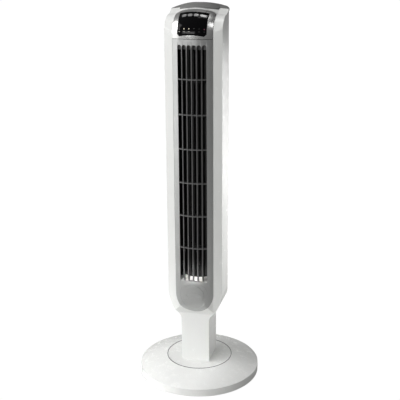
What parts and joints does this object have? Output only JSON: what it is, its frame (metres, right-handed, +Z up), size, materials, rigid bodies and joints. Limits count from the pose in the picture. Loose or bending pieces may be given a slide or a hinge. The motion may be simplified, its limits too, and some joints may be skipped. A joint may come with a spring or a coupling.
{
  "type": "tower fan",
  "caption": "Slim oscillating tower fan on a round base: slotted front grille between white shells, sloped control pod, carry handle recess and cross-flow blower.",
  "frame": {"origin": "centre of the round base at floor level", "axes": "+Z up, the front grille and controls face -Y, +X points to the right of someone who faces the grille"},
  "size_m": [0.298, 0.298, 0.9149],
  "materials": {
    "white_plastic": "fine satin white",
    "silver_plastic": "silver paint on plastic",
    "bright_trim": "bright metallised trim",
    "black_gloss": "black gloss window",
    "grey_plastic": "mid grey",
    "key_plastic": "pale grey keys",
    "lamp_resin": "clear resin",
    "dark_plastic": "black moulding",
    "circuit_board": "laminate",
    "rubber": "soft black",
    "slide_nylon": "natural nylon",
    "zinc_steel": "zinc plated",
    "motor_steel": "plated motor steel",
    "bronze": "sintered bush"
  },
  "bodies": {
    "base": {"base_cover": "white_plastic", "base_plate": "white_plastic", "base_screws": "zinc_steel", "rubber_feet": "rubber", "slide_ring": "slide_nylon", "cord_bush": "dark_plastic", "swing_motor": "motor_steel", "swing_motor_screws": "zinc_steel"},
    "crank": {"crank_disc": "slide_nylon"},
    "link": {"drive_link": "slide_nylon"},
    "tower": {"badge_plate": "silver_plastic", "bush_rubber": "rubber", "column_rear": "white_plastic", "column_screws": "zinc_steel", "control_bezel": "bright_trim", "control_board": "circuit_board", "display_window": "black_gloss", "duct_ceiling": "grey_plastic", "duct_floor": "white_plastic", "front_grille": "silver_plastic", "front_shell": "white_plastic", "handle_cup": "white_plastic", "housing_screws": "zinc_steel", "indicator_lamps": "lamp_resin", "key_switches": "dark_plastic", "lamp_board": "circuit_board", "motor_bearings": "bronze", "motor_lower_bell": "motor_steel", "motor_mounts": "rubber", "motor_screws": "zinc_steel", "motor_stator": "motor_steel", "motor_upper_bell": "motor_steel", "pivot_retainer": "zinc_steel", "rear_shell": "white_plastic", "remote_receiver": "dark_plastic", "retainer_screws": "zinc_steel", "roof_cap": "grey_plastic", "run_capacitor": "grey_plastic", "scroll_wall": "dark_plastic", "tongue_wall": "dark_plastic", "top_bush": "bronze", "turntable": "white_plastic"},
    "blower": {"blower_wheel": "dark_plastic", "blower_stub": "zinc_steel", "motor_rotor": "motor_steel", "motor_shaft": "zinc_steel"},
    "power_button_body": {"power_button": "key_plastic"},
    "speed_button_body": {"speed_button": "key_plastic"},
    "swing_button_body": {"swing_button": "key_plastic"},
    "timer_button_body": {"timer_button": "key_plastic"}
  },
  "joints": [
    {"name": "tower_swing", "type": "hinge", "parent": "base", "child": "tower", "pos_m": [0, 0, 0.03], "axis": [0, 0, 1], "range_deg": [-39.5, 39.5]},
    {"name": "crank_turn", "type": "hinge", "parent": "base", "child": "crank", "pos_m": [-0.008, 0.046, 0.03], "axis": [0, 0, 1], "range_deg": [-90, 90]},
    {"name": "link_turn", "type": "hinge", "parent": "tower", "child": "link", "pos_m": [-0.022, 0, 0.035], "axis": [0, 0, 1], "range_deg": [-39.5, 39.5]},
    {"name": "blower_spin", "type": "hinge", "parent": "tower", "child": "blower", "pos_m": [0, 0.01, 0.5], "axis": [0, 0, 1], "continuous": true},
    {"name": "power_press", "type": "slide", "parent": "tower", "child": "power_button_body", "axis": [0, 0.6334, -0.7738], "range_m": [0, 0.0008], "stiffness_N_per_m": 1500, "springref_m": -0.0005},
    {"name": "speed_press", "type": "slide", "parent": "tower", "child": "speed_button_body", "axis": [0, 0.6334, -0.7738], "range_m": [0, 0.0008], "stiffness_N_per_m": 1500, "springref_m": -0.0005},
    {"name": "swing_press", "type": "slide", "parent": "tower", "child": "swing_button_body", "axis": [0, 0.6334, -0.7738], "range_m": [0, 0.0008], "stiffness_N_per_m": 1500, "springref_m": -0.0005},
    {"name": "timer_press", "type": "slide", "parent": "tower", "child": "timer_button_body", "axis": [0, 0.6334, -0.7738], "range_m": [0, 0.0008], "stiffness_N_per_m": 1500, "springref_m": -0.0005}
  ],
  "couplings": [
    {"joint": "crank_turn", "follows": "tower_swing", "ratio": 2.2773},
    {"joint": "link_turn", "follows": "tower_swing", "ratio": -1}
  ]
}
